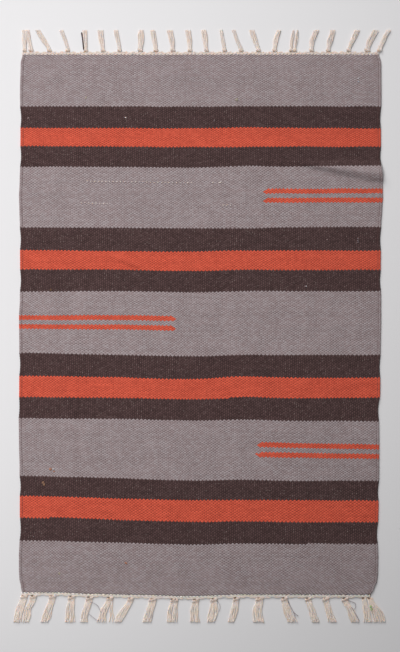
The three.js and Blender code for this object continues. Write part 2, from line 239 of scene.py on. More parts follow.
# What differs between the fringes. Twining rows: distance, height, half thickness and offset of the yarn
# Painted light: the lower fringe's strands and heading rows have a higher tone than the upper ones', against
# the weaker light there and the shade the cloth's end casts on that heading. The lower strands also mix in
# more of the shade colour all over, which warms them. The hollow numbers set how dark the painted shade in
# the knots' hollows is.
FRINGES = {
    "upper": SimpleNamespace(
        out=1, border=0, seed=23, tassels=UPPER_TASSELS, cut=41.2, undone_from=HALF_WIDTH,
        twining=((0.8, 1.8, 0.74, 0.62), (2.9, 1.35, 0.68, 0.56)), twining_tone=0.84,
        thickness=1, layers=3, sway=0.4, loosening=0.2, tone=0.975, shade=0,
        hollow_at=5.3, hollow_shade=0.8,
        knot_tone=0.95, knot_hollow_shade=0.5, knot_room=0.2, knot_tilt=(-1, 1.4)),
    "lower": SimpleNamespace(
        out=-1, border=len(ZONES), seed=29, tassels=LOWER_TASSELS, cut=43.5, undone_from=262,
        twining=((1.15, 1.75, 0.74, 0.62), (3.5, 0.95, 0.66, 0.54)), twining_tone=1.22,
        thickness=1.14, layers=2, sway=0.8, loosening=0.4, tone=1.19, shade=0.26,
        hollow_at=6, hollow_shade=2.6,
        knot_tone=0.86, knot_hollow_shade=1.4, knot_room=-0.3, knot_tilt=(0.6, 2)),
}

# Loose thread ends on the fringes, by shade: their colour, then each one's half thickness and its places
LOOSE_THREADS = {
    "dark": ((0.075, 0.042, 0.042), [
        (1.15, [(-193, 456), (-194, 464.5), (-195, 474.5), (-196.6, 484)]),
    ]),
    "grey": ((0.30, 0.26, 0.28), [
        (0.30, [(-182.5, -457.5), (-176, -459.5), (-170.2, -463.7), (-166.6, -470.3), (-165.3, -476)]),
        (0.30, [(-185, -476.5), (-179.3, -481.5), (-173.5, -486), (-168, -488.8)]),
        (0.45, [
            (143.8, -453), (146.7, -460.5), (150, -467), (153.7, -473.6), (157.8, -477.8), (161.5, -480.3)]),
        (0.35, [(153.2, -473), (155.6, -479.8), (157.6, -486.5)]),
        (0.40, [
            (242, -453.5), (247, -455.8), (252, -457.4), (256, -460.4), (256.5, -465.3), (254.5, -469.5)]),
        (0.45, [(249.5, -466), (253.7, -472.5), (257.8, -479.2), (261.1, -485.8), (262.5, -488.8)]),
        (0.30, [(24.8, -452.2), (27.3, -456.3), (31.4, -461.2), (32.2, -467), (30.5, -473.6)]),
    ]),
}
# How high a loose thread starts, and how high it lies from there on
THREAD_START = 2.6
THREAD_HEIGHT = 1.6

# What clings to the cloth, by kind: its colour, then each one's place across and along, length and width
FLECKS = {
    "pale": (None, [(-123.8, 343.4, 2.6, 2.2)]),
    "lint": ((0.45, 0.42, 0.44), [
        (260.6, 408, 3.6, 2.6), (261, 403.2, 3.2, 2.2), (-243, -237.4, 3.6, 3.8), (174.8, 64.6, 2.4, 2.2)]),
    "dusty": ((0.20, 0.145, 0.15), [
        (-284.6, 342.6, 3.2, 3.2), (173.4, 64.4, 3.4, 2.6), (260.2, 143.9, 2.6, 2.1),
        (260.4, 140.6, 2.6, 2.1), (260.4, 137.3, 2.8, 2.6), (-276, -348.9, 2.6, 1.8),
        (22.8, 338.6, 3.2, 1.8), (209.4, 141.6, 2.2, 2.8)]),
    "straw": ((0.36, 0.31, 0.24), [(60, 373, 4.6, 4.8), (-189.3, 376, 1.8, 4.8), (-233.5, -410, 3.2, 4.4)]),
    "tan": ((0.24, 0.135, 0.085), [(-260, -259.8, 4.6, 4.4), (-258.6, -263, 4.4, 4.2)]),
    "bark": ((0.12, 0.065, 0.036), [(-247.2, 58.6, 3.4, 4)]),
    "rust": ((0.38, 0.18, 0.12), [
        (-241.8, -241.3, 3.6, 1.5), (-123, -392.8, 5.6, 3.2), (-247.9, -237.5, 4.8, 4.4)]),
    "green": ((0.38, 0.54, 0.24), [(281.4, -465, 3.4, 4.6), (282.8, -469.2, 3, 4.4)]),
}
# Rows of pale knots where floats of a pick are worn: from, to, the gap between knots and their usual length
PALE_ROWS = [
    ((-187, 238.3), (-12.5, 235.5), 6.14, 2.6), ((20, 236.2), (34, 236), 12.3, 4.8),
    ((-197, 202.8), (-152, 201), 6.14, 1.9), ((37.5, 198.7), (50.5, 198.3), 6.14, 2.5),
]
PALE_WIDTH = 1.5
# How high flecks lie on the cloth and on the fringe
FLECK_TOP = 3.5
FRINGE_FLECK_TOP = 3.1

# The warps' colour under painted shade, and how dark the shades of threads and flecks are beside their
# colours
ECRU_SHADE = (0.74, 0.536, 0.424)
THREAD_SHADE = 0.5
FLECK_SHADE = 0.6

# The stage: the image's centre lies this far from the middle of the woven part, and the image is this long
VIEW_CENTRE = (-0.83, -1.0)
VIEW_LENGTH = 1077.5
SENSOR = 36
# The soft lights: kind, place, the point they face, size and share of the set power
LIGHTS = {
    "upper_light": ("AREA", (-1.45, 4.0, 3.0), (0, 0, 0), 3.6, 20.2),
    "left_light": ("SPOT", (-0.8, -0.3, 2.5), (-0.59, 0.21, 0), 0.35, 10.2),
}
SPOT_CONE = 1.052
# In metres: the floor's sides, and how far under the rug it lies
FLOOR_SIZE = 60
FLOOR_DROP = 0.0003

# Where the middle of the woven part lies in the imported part's frame
ground_low, ground_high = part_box("woven_ground")
MIDDLE = (ground_low.x / MM + HALF_WIDTH + SOLID_SWELL, ground_high.y / MM - UPPER_END, 0)


def to_frame(points):
    """Points on the rug in millimetres, as points of the frame in metres"""
    return (np.asarray(points, float) + MIDDLE) * MM


def ease(share):
    share = np.clip(share, 0, 1)
    return share * share * (3 - 2 * share)


def read_curve(places, values, at, level=False):
    """The value on a smooth curve through a table's rows, or on one that lies level at each row"""
    places, values = np.asarray(places, float), np.asarray(values, float)
    slopes = np.zeros(len(places)) if level else np.gradient(values, places)
    at = np.clip(at, places[0], places[-1])
    row = np.clip(np.searchsorted(places, at, "right") - 1, 0, len(places) - 2)
    width = places[row + 1] - places[row]
    t = (at - places[row]) / width
    before = (t**3 - 2 * t**2 + t) * width * slopes[row]
    after = (t**3 - t**2) * width * slopes[row + 1]
    return values[row] + (values[row + 1] - values[row]) * ease(t) + before + after


def border_line(border, across):
    """Where a border between zones lies along the rug; border 0 is the upper end"""
    if border == 0:
        return np.full_like(across, UPPER_END)
    if border == len(ZONES):
        return -UPPER_END + read_curve(*LOWER_END, across, level=True)
    return read_curve(ACROSS_STATIONS, ZONES[border - 1][3], across)


def zone_of(pick):
    """The zone that a pick lies in, how far down it and its height, both in picks"""
    zone = int(np.clip(np.searchsorted(FIRST_PICKS - 0.5, pick, "right") - 1, 0, len(ZONES) - 1))
    return zone, pick + 0.5 - FIRST_PICKS[zone], ZONES[zone][1]


def pick_line(pick, across):
    """Where a pick lies along the rug. Picks count from the upper end, and a zone ends between two."""
    zone, down, height = zone_of(pick)
    upper, lower = border_line(zone, across), border_line(zone + 1, across)
    return upper + (lower - upper) * (down / height)


def edge_place(side, pick):
    """Where a side edge lies across the rug at a pick; side is -1 on the left and 1 on the right"""
    corner = np.array([side * HALF_WIDTH], float)
    along = pick_line(pick, corner)
    sag = ease(((UPPER_END - along) / WOVEN_LENGTH - STRAIGHT_SHARE) / (SAGGED_SHARE - STRAIGHT_SHARE))
    straight = along - sag * read_curve(*LOWER_END, corner, level=True)
    drift = read_curve(EDGE_DRIFT[0], EDGE_DRIFT[1 if side < 0 else 2], straight, level=True)
    # The brown yarn draws the edge in, most at the middle of its zone
    zone, down, height = zone_of(pick)
    pull_in = BROWN_PULL_IN * math.sin(math.pi * down / height) if ZONES[zone][0] == "brown" else 0
    return float(side * (HALF_WIDTH - drift[0] - pull_in))


def ripple_lift(across, along):
    """How far the ripples lift the cloth off the floor"""
    lift = np.zeros_like(across)
    for ripple in RIPPLES:
        start = np.array(ripple["start"], float)
        run = np.array(ripple["end"], float) - start
        length = math.hypot(*run)
        share = np.clip(((across - start[0]) * run[0] + (along - start[1]) * run[1]) / length**2, 0, 1)
        aside = (run[0] * (along - start[1]) - run[1] * (across - start[0])) / length
        columns = (ripple[key] for key in ("heights", "soft", "steep", "foot"))
        crest, soft, steep, foot = (np.interp(share, (0, 1 / 3, 2 / 3, 1), column) for column in columns)
        fall = np.minimum(np.abs(aside) / np.where(aside > 0, soft, steep), 1)
        rounded = 0.5 + 0.5 * np.cos(math.pi * fall)
        sharp = np.cos(math.pi / 2 * fall)
        lift += crest * np.where(aside > 0, rounded, rounded + (sharp - rounded) * foot)
    return lift


def crowded(warps):
    """Where warps lie, counted in even warps: the reed sets them closer in some parts than in others"""
    strays = sum(stray * np.sin(2 * math.pi * warps / length + start) for stray, length, start in CROWDING)
    return warps + strays * ease(np.minimum(warps, WARPS - warps) / 8)


def warp_at(across):
    """The warp that lies at a place across the rug, where its sides are straight"""
    even = WARPS * (across + HALF_WIDTH - GROOVE) / (WOVEN_WIDTH - 2 * GROOVE)
    return 2 * even - crowded(even)


def warp_places(left, right, warps):
    """Where warps lie between the two side edges"""
    return left + GROOVE + (right - left - 2 * GROOVE) * crowded(warps) / WARPS


def grid_of(warps, picks, insets):
    """Places across and along for every pick (row) and warp (column); insets are those of the side edges"""
    across = np.zeros((len(picks), len(warps)))
    along = np.zeros_like(across)
    for row, pick in enumerate(picks):
        left, right = edge_place(-1, pick), edge_place(1, pick)
        corded = np.where(warps >= WARPS, right - insets, warp_places(left, right, warps))
        across[row] = np.where(warps <= 0, left + insets, corded)
        along[row] = pick_line(pick, across[row])
    return across, along


LENGTH = {"precision": 5, "unit": "LENGTH"}
COLOUR = {"subtype": "COLOR", "size": 3}


class Settings(bpy.types.PropertyGroup):
    """Sizes and colours of the rug that a user would change"""

    thickness: FloatProperty(name="Thickness", description="Thickness of the cloth", default=0.003, **LENGTH)
    float_rise: FloatProperty(
        name="Float Rise", description="How far a weft float stands over the face", default=0.0003, **LENGTH)
    pit_depth: FloatProperty(
        name="Pit Depth", description="How deep the cloth dips between floats", default=0.0005, **LENGTH)
    grey: FloatVectorProperty(
        name="Grey Yarn", description="Colour of the ground", default=(0.347, 0.280, 0.286), **COLOUR)
    brown: FloatVectorProperty(
        name="Brown Yarn", description="Colour of dark stripes", default=(0.073, 0.0385, 0.0375), **COLOUR)
    orange: FloatVectorProperty(
        name="Orange Yarn", description="Colour of bright stripes", default=(0.66, 0.098, 0.053), **COLOUR)
    ecru: FloatVectorProperty(
        name="Ecru Warp", description="Colour of the fringe", default=(0.87, 0.75, 0.69), **COLOUR)
    ply_radius: FloatProperty(
        name="Ply Radius", description="Half thickness of a warp's ply", default=0.00044, **LENGTH)
    ply_pitch: FloatProperty(
        name="Ply Pitch", description="Length of one twist of a warp's plies", default=0.0055, **LENGTH)
    floor_colour: FloatVectorProperty(
        name="Floor", description="Colour of the floor", default=(0.725, 0.715, 0.725), **COLOUR)
    lens: FloatProperty(name="Lens", description="Focal length of the camera in millimetres", default=100)
    key_power: FloatProperty(name="Light", description="Power of the lights", default=12.7, unit="POWER")
    fill_strength: FloatProperty(name="Fill", description="Strength of light from all round", default=0.162)


class Value:
    """What a shader node gives. A sum, a difference or a product of such values is a node too."""

    def __init__(self, shader, socket):
        self.shader, self.socket = shader, socket

    def __add__(self, other):
        return self.shader.calc("ADD", self, other)

    def __radd__(self, other):
        return self.shader.calc("ADD", other, self)

    def __sub__(self, other):
        return self.shader.calc("SUBTRACT", self, other)

    def __rsub__(self, other):
        return self.shader.calc("SUBTRACT", other, self)

    def __mul__(self, other):
        return self.shader.calc("MULTIPLY", self, other)


class Shader:
    """A new material and the nodes that it is made of"""

    def __init__(self, name):
        self.material = bpy.data.materials.new(name)
        self.material.use_nodes = True
        self.tree = self.material.node_tree
        self.tree.nodes.clear()

    def add(self, kind, inputs=None, output=0, **settings):
        """Adds a node and gives one of its outputs. An input is a value from another node or a plain one."""
        node = self.tree.nodes.new("ShaderNode" + kind)
        for name, value in settings.items():
            setattr(node, name, value)
        for key, value in (inputs or {}).items():
            if isinstance(value, Value):
                self.tree.links.new(value.socket, node.inputs[key])
            else:
                node.inputs[key].default_value = value
        return Value(self, node.outputs[output]) if len(node.outputs) else None

    def calc(self, operation, *values):
        return self.add("Math", dict(enumerate(values)), operation=operation)

    def map_range(self, *numbers, kind="SMOOTHSTEP"):
        """Moves a value from one range to another: the value, low, high, low after, high after"""
        return self.add("MapRange", dict(enumerate(numbers)), interpolation_type=kind)

    def mix(self, share, first, second, blend="MIX"):
        return self.add("Mix", {0: share, 6: first, 7: second}, 2, data_type="RGBA", blend_type=blend)

    def toned(self, colour, tone):
        return self.add("VectorMath", {0: colour, "Scale": tone}, operation="SCALE")

    def parts(self, place):
        """The three numbers of a place"""
        node = self.add("SeparateXYZ", {0: place}).socket.node
        return [Value(self, part) for part in node.outputs]

    def attribute(self, name):
        return self.add("Attribute", output="Fac", attribute_name=name, attribute_type="GEOMETRY")

    def chance(self, dimensions, **inputs):
        """Another number from 0 to 1 for each whole place"""
        return self.add("TexWhiteNoise", inputs, "Value", noise_dimensions=dimensions)

    def noise(self, place, scale, detail, stretch=None):
        if stretch:
            place = self.add("Mapping", {"Vector": place, "Scale": stretch})
        return self.add("TexNoise", {"Vector": place, "Scale": scale, "Detail": detail})

    def finish(self, surface):
        """Ends the material with a surface and gives the material"""
        self.add("OutputMaterial", {"Surface": self.add("BsdfPrincipled", surface)})
        return self.material

    def finish_yarn(self, colour, height, bump_distance, sheen=0.12, glow=0.0):
        """Ends a yarn's material: its colour, a bump from the height, and the light its fibres pass on"""
        bump = self.add("Bump", {"Height": height, "Distance": bump_distance, "Strength": 1.0})
        return self.finish({
            "Base Color": colour, "Roughness": 0.92, "Specular IOR Level": 0.15, "Normal": bump,
            "Sheen Weight": sheen, "Sheen Roughness": 0.6, "Subsurface Weight": glow,
            "Subsurface Scale": 0.0011, "Subsurface Radius": (1.0, 0.75, 0.55)})


def with_alpha(colour, factor=1.0):
    return tuple(min(channel * factor, 1) for channel in colour) + (1,)


def woven_material(settings):
    """Weft floats in the zone's yarn, told apart by the place in warps and picks that the weave map holds"""
    shader = Shader("woven_yarn")
    calc, map_range = shader.calc, shader.map_range
    place = shader.add("UVMap", uv_map="weave")
    warp, pick, _ = shader.parts(place)
    # A float is a diamond of the weave: whole numbers of half the sum and half the difference of its place
    rising, falling = (warp + pick) * 0.5, (warp - pick) * 0.5
    rising_cell, falling_cell = calc("ROUND", rising), calc("ROUND", falling)
    rising_rest, falling_rest = rising - rising_cell, falling - falling_cell
    out = (rising_rest * rising_rest + falling_rest * falling_rest) * 2.0
    pick_number = rising_cell - falling_cell

    yarn = shader.attribute("yarn")
    dye = shader.add("ValToRGB", {0: yarn})
    ramp = dye.socket.node.color_ramp
    ramp.interpolation = "CONSTANT"
    ramp.elements.new(0.66)
    dyes = (settings.grey, settings.brown, settings.orange)
    for element, start, colour in zip(ramp.elements, (0, 0.33, 0.66), dyes):
        element.position = start
        element.color = with_alpha(colour)
    is_brown = calc("COMPARE", yarn, 0.5, 0.1)

    # Every float, pick and warp has a tone of its own
    cell = shader.add("CombineXYZ", {0: rising_cell, 1: falling_cell})
    cell_chance = shader.chance("2D", Vector=cell)
    tone = (cell_chance - 0.5) * (is_brown * 0.26 + 0.24) + 1.0
    for chance, strength in (
        (shader.chance("1D", W=pick_number), 0.06),
        (shader.noise(place, 1.0, 2.0, (0.035, 0.45, 1)), 0.22),
        (shader.noise(place, 1.0, 2.0, (0.5, 0.02, 1)), 0.14),
    ):
        tone = tone + (chance - 0.5) * strength
    # Painted shade: less light reaches the hollows between floats, most of all their corners, so they are
    # painted darker, more in some patches than in others
    hollow = map_range(out, 0.12, 0.95, 0.0, 1.0)
    patches = shader.noise(place, 1.0, 1.0, (0.11, 0.07, 1))
    hollow_shade_strength = map_range(patches, 0.3, 0.7, 0.46, 0.7) * (1.0 - is_brown * 0.15)
    tone = tone * (1.0 - hollow * hollow_shade_strength)
    # The brown yarn is beaten so close that the warps under it show as ribs. The ribs' light and shade are
    # painted into the tone, lighter over each warp, a little on every yarn.
    ribbing = calc("COSINE", warp * (2 * math.pi))
    tone = tone * (1.0 + ribbing * (is_brown * 0.33 + 0.02))
    # Past the last floats only the gaps between them are left, with painted shade that halves their tone
    past_ends = calc("LESS_THAN", pick_number, -0.5) + calc("GREATER_THAN", pick_number, PICKS - 0.5)
    tone = tone * (1.0 - past_ends * 0.5)
    heather = shader.mix(cell_chance, (1.03, 0.985, 0.98, 1), (0.97, 1.01, 1.015, 1))
    coloured = shader.toned(shader.mix(1.0, dye, heather, "MULTIPLY"), tone)

    # Here and there the pale warp glints between dark floats
    pit = shader.add("CombineXYZ", {0: calc("FLOOR", rising), 1: calc("FLOOR", falling), 2: 7.0})
    glint = calc("GREATER_THAN", shader.chance("3D", Vector=pit), 0.90) * is_brown
    glint = glint * calc("GREATER_THAN", out, 0.72)
    glinting = shader.mix(glint * 0.4, coloured, with_alpha(settings.ecru, 0.8))

    # Painted shade darkens the groove beside each corded edge, and painted light brightens the outer side of
    # each cord
    inward = WARPS / 2 - calc("ABSOLUTE", warp - WARPS / 2)
    groove_shade = map_range(calc("ABSOLUTE", inward), 0.05, 0.45, 1.0, 0.0)
    groove_shaded = shader.mix(groove_shade * 0.42, glinting, (0.07, 0.03, 0.028, 1))
    corded = shader.toned(groove_shaded, map_range(inward, -1.9, -0.9, 1.3, 1.0))

    fuzz = shader.noise(place, 1.0, 4.0, (1.6, 9.0, 1))
    return shader.finish_yarn(corded, fuzz * 0.35 - out + ribbing * 0.12, 0.0008)


def cotton_material(name, colour, shade, spun=True):
    """Spun yarn, with warm painted shade deep between its plies and low between the strands, and the darkest
    painted shade in a knot's hollow
    """
    shader = Shader(name)
    place = shader.add("TexCoord", output="Object")
    shadow = shader.noise(place, 420.0, 3.0) - 0.5
    tone = 1.0
    if spun:
        # Painted shade low down between the strands, added to the shade painted on each point of a tube
        low = shader.map_range(shader.parts(place)[2], 0.0002, 0.0014, 0.3, 0.0)
        shadow = shadow + (low + shader.attribute("depth"))
        tone = shader.attribute("tone")
    share = shader.map_range(shadow, 0.0, 1.0, 0.0, 1.0, kind="LINEAR")
    shaded = shader.mix(share, with_alpha(colour), with_alpha(shade))
    # Painted shade at its darkest where the shade runs past one, in a knot's hollow
    deepest = shader.map_range(shadow, 1.0, 2.0, 0.0, 1.0)
    shaded = shader.mix(deepest, shaded, with_alpha(shade, 0.16))
    fibres = shader.noise(place, 2600.0, 3.0)
    return shader.finish_yarn(shader.toned(shaded, tone), fibres, 0.00025, sheen=0.1, glow=0.6)


def place_piece(piece, material):
    """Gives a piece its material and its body"""
    piece.data.materials.clear()
    piece.data.materials.append(material)
    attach(piece, "root")


def edit_mesh(selecting=None, step=None, **settings):
    """Selects all or nothing of the active mesh in edit mode, and runs an operator on what is selected"""
    bpy.ops.object.mode_set(mode="EDIT")
    if selecting:
        bpy.ops.mesh.select_all(action=selecting)
    if step:
        step(**settings)
    bpy.ops.object.mode_set(mode="OBJECT")


def join_pieces(pieces):
    """Joins pieces into the first of them"""
    bpy.ops.object.select_all(action="DESELECT")
    for piece in pieces:
        piece.select_set(True)
    bpy.context.view_layer.objects.active = pieces[0]
    bpy.ops.object.join()


def read_values(members, name, kind=int, width=1):
    """One value from each member of a mesh"""
    values = np.zeros(len(members) * width, kind)
    members.foreach_get(name, values)
    return values.reshape(-1, width) if width > 1 else values


def write_values(members, name, values):
    members.foreach_set(name, np.asarray(values, np.float32).ravel())


def add_sheet(name, grid):
    """A sheet through a grid, upper row first; also each vertex's values and the grid of vertex numbers"""
    rows, columns = grid.shape[:2]
    bpy.ops.mesh.primitive_grid_add(x_subdivisions=columns - 1, y_subdivisions=rows - 1, size=1)
    sheet = bpy.context.active_object
    sheet.name = sheet.data.name = name
    flat = read_values(sheet.data.vertices, "co", float, 3)
    if len(flat) != columns * rows:
        raise RuntimeError(f"{name}: the grid has {len(flat)} vertices, not {columns} x {rows}")
    column = np.rint((flat[:, 0] + 0.5) * (columns - 1)).astype(int)
    row = np.rint((0.5 - flat[:, 1]) * (rows - 1)).astype(int)
    write_values(sheet.data.vertices, "co", to_frame(grid[row, column, :3]))
    sheet.data.update()
    number = np.zeros((rows, columns), int)
    number[row, column] = np.arange(len(row))
    return sheet, grid[row, column], number


def soft_field(rng, shape, cells):
    """A random field over a grid that changes softly over so many rows and columns"""
    field = rng.normal(0, 1, (int(shape[0] / cells[0]) + 3, int(shape[1] / cells[1]) + 3))
    for length, cell in zip(shape, cells):
        at = np.arange(length) / cell
        low = at.astype(int)
        field = (field[low] + (field[low + 1] - field[low]) * ease(at - low)[:, None]).T
    return field


def stack_grid(across, along, height, warps, picks):
    """One grid with five values at each point: its place on the rug, its warp and its pick"""
    return np.stack(np.broadcast_arrays(across, along, height, warps[None], picks[:, None]), -1)


def face_points(settings, rng):
    """The grid of the upper face, with a point where each warp and pick cross"""
    edge_insets, edge_tops, edge_warps = np.array(SELVEDGE).T
    ground = np.arange(1, WARPS, dtype=float)
    warps = np.concatenate([edge_warps, ground, WARPS - edge_warps[::-1]])
    insets = np.concatenate([edge_insets, 0 * ground, edge_insets[::-1]])
    heights = np.concatenate([edge_tops, 0 * ground + settings.thickness / MM, edge_tops[::-1]])
    picks = np.concatenate([[-1], np.arange(PICKS), [PICKS]])
    placed = np.concatenate([[-0.5, 0.2], picks[2:-2], [PICKS - 1.2, PICKS - 0.5]])
    across, along = grid_of(warps, placed, insets)
    lattice = np.cos(math.pi * warps)[None] * np.cos(math.pi * picks)[:, None]
    rise, pit = settings.float_rise / MM, settings.pit_depth / MM
    inside = (warps > 0) & (warps < WARPS)
    relief = np.where(lattice > 0, lattice * rise, lattice * pit) * np.where(inside, 1, 0.5)[None]
    relief *= 1 + UNEVEN_RELIEF * np.clip(soft_field(rng, relief.shape, (16, 9)), -1.5, 1.5)
    z = heights[None] + relief + rng.normal(0, FLOAT_JITTER, relief.shape) * inside[None]
    z[[0, -1]] = np.minimum(END_HEIGHT - END_DIP * lattice[[0, -1]], heights[None])
    z += ripple_lift(across, along)
    along[0] += TOOTH * lattice[1]
    along[-1] -= TOOTH * lattice[-2]
    scallop = EDGE_SCALLOP * np.cos(math.pi * picks)
    across[:, 0] -= scallop
    across[:, -1] += scallop
    # The crossings wander, except near the sides and the ends
    edges = ease(np.minimum(np.minimum(warps, WARPS - warps) / 6, 1))[None]
    ends = ease(np.minimum(np.minimum(picks + 1, PICKS - picks) / 5, 1))[:, None]
    wander = soft_field(rng, across.shape, (14, 7)) * WANDER
    across += (wander + rng.normal(0, FLOAT_JITTER, across.shape)) * edges
    for strength, cells in ((WANDER, (9, 12)), (PICK_WANDER, (1, 10))):
        along += soft_field(rng, across.shape, cells) * strength * edges * ends
    return stack_grid(across, along, z, warps, picks)


def under_points():
    """The grid of the plain underside, with a row at each border and a column at each short line's tip"""
    steps = np.arange(0, WARPS + 1, UNDER_WARP_STEP, dtype=float)
    tips = [warp_at(tip) for tip in LINE_TIPS]
    warps = np.unique(np.concatenate([[-1.4], steps, np.rint(tips), [WARPS + 1.4]]))
    insets = np.where((warps < 0) | (warps > WARPS), UNDER_INSET, GROOVE)
    picks = []
    for start, end in zip(FIRST_PICKS[:-1], FIRST_PICKS[1:]):
        count = max(1, math.ceil((end - start) / UNDER_PICK_STEP))
        picks += [start - 0.5 + (end - start) * k / count for k in range(count)]
    picks = np.array([*picks, PICKS - 0.5])
    across, along = grid_of(warps, picks, insets)
    return stack_grid(across, along, ripple_lift(across, along), warps, picks)


def yarn_at(warps, picks, mids):
    """Which yarn shows at places given in warps and picks: the float that covers each of them"""
    rising, falling = np.rint((warps + picks) / 2), np.rint((warps - picks) / 2)
    warp = rising + falling
    pick = np.clip(rising - falling, 0, PICKS - 1)
    shifted = pick.copy()
    for border, start, end, gain in BORDER_STEPS:
        near = (np.abs(pick + 0.5 - FIRST_PICKS[border + 1]) < 2) & (mids > start) & (mids < end)
        shifted[near] -= gain
    yarn = ZONE_YARNS[np.clip(np.searchsorted(FIRST_PICKS, shifted, "right") - 1, 0, len(ZONES) - 1)]
    lined = [k for k, row in enumerate(ZONES) if row[2]]
    for k, tip in zip(lined, LINE_TIPS):
        side = 1 if ZONES[k][2] == "right" else -1
        for line, taper in enumerate(LINE_TAPERS):
            for order, past in enumerate(taper):
                number = FIRST_PICKS[k] + 2 * LINE_PICKS * line + order
                yarn[(pick == number) & (side * (warp - warp_at(tip)) > past)] = YARNS.index("orange")
    return yarn


def stitch(first, second, first_places, second_places):
    """Triangles between two lines of vertices, whose places both rise"""
    steps = [(a + b, 0) for a, b in zip(first_places, first_places[1:])]
    steps += [(a + b, 1) for a, b in zip(second_places, second_places[1:])]
    triangles, done = [], [0, 0]
    for _, line in sorted(steps):
        i, j = done
        triangles.append((first[i], second[j + 1] if line else first[i + 1], second[j]))
        done[line] += 1
    return triangles


def weave_cloth(settings):
    """The woven ground: a face with a vertex at every crossing, a plain underside and a rim between them"""
    upper_grid, under_grid = face_points(settings, np.random.default_rng(11)), under_points()
    face, upper, number = add_sheet("woven_cloth", upper_grid)

    # Each square of the grid is cut from hollow to hollow, so that a float is four facets round its crown
    bpy.context.tool_settings.mesh_select_mode = (False, False, True)
    first = read_values(face.data.loops, "vertex_index").reshape(-1, 4)[:, 0]
    crown = np.rint(upper[first, 3:]).sum(1) % 2 == 0
    for method, chosen in (("FIXED", ~crown), ("FIXED_ALTERNATE", True)):
        quads = read_values(face.data.polygons, "loop_total") == 4
        quads[quads] = chosen
        edit_mesh("DESELECT")
        face.data.polygons.foreach_set("select", quads)
        edit_mesh(None, bpy.ops.mesh.quads_convert_to_tris, quad_method=method, ngon_method="BEAUTY")

    underside, under, under_number = add_sheet("cloth_underside", under_grid)
    under_number += len(upper)
    edit_mesh("SELECT", bpy.ops.mesh.flip_normals)
    join_pieces([face, underside])

    rim = []
    for k in (0, -1):
        rim += stitch(number[k], under_number[k], upper_grid[k, :, 3], under_grid[k, :, 3])
        rim += stitch(number[:, k], under_number[:, k], upper_grid[:, k, 4], under_grid[:, k, 4])
    shell = bmesh.new()
    shell.from_mesh(face.data)
    shell.verts.ensure_lookup_table()
    for triangle in rim:
        shell.faces.new([shell.verts[corner] for corner in triangle])
    shell.to_mesh(face.data)
    shell.free()
    edit_mesh("SELECT", bpy.ops.mesh.normals_make_consistent, inside=False)
    map_cloth(face.data, np.concatenate([upper, under]), len(upper))
    return face


def map_cloth(mesh, values, face_count):
    """Writes the weave map, the bake map and the yarn of every face, and smooths the shading"""
    corners = read_values(mesh.loops, "vertex_index")
    totals = read_values(mesh.polygons, "loop_total")
    values = values[corners]
    write_values(mesh.uv_layers.new(name="weave").data, "uv", values[:, 3:])

    # The bake map: the upper face and the rim to scale on the left, the underside at half size on the right
    polygon = np.repeat(np.arange(len(totals)), totals)
    is_under = corners >= face_count
    whole_under = (np.bincount(polygon, is_under, len(totals)) == totals)[polygon][:, None]
    flat = values[:, :2] / WOVEN_LENGTH
    outward = np.where(is_under[:, None] & ~whole_under, RIM_SPREAD, 1.0)
    above = flat * outward * UPPER_MAP[0] + UPPER_MAP[1]
    baked = np.where(whole_under, flat * UNDER_MAP[0] + UNDER_MAP[1], above)
    write_values(mesh.uv_layers.new(name="OFBake").data, "uv", baked)

    middles = [np.bincount(polygon, values[:, k], len(totals)) / totals for k in (3, 4, 0)]
    write_values(mesh.attributes.new("yarn", "FLOAT", "FACE").data, "value", (yarn_at(*middles) + 0.5) / 3)
    mesh.polygons.foreach_set("use_smooth", np.ones(len(totals), bool))
    mesh.update()


def smooth_path(points, step):
    """A smooth line through given points, with a point every step"""
    points = np.asarray(points, float)
    lengths = np.concatenate([[0], np.cumsum(np.linalg.norm(np.diff(points, axis=0), axis=1))])
    count = max(2, int(round(lengths[-1] / step)) + 1)
    at = np.linspace(0, lengths[-1], count)
    return np.stack([read_curve(lengths, points[:, axis], at) for axis in range(3)], -1)


def directions(line, upward):
    """The directions ahead, to the side and on top along a line, and the lengths of its steps"""
    ahead = np.gradient(line, axis=0)
    steps = np.linalg.norm(ahead, axis=1)
    ahead /= steps[:, None]
    side = np.cross(ahead, upward)
    side /= np.linalg.norm(side, axis=1)[:, None]
    return ahead, side, np.cross(side, ahead), steps


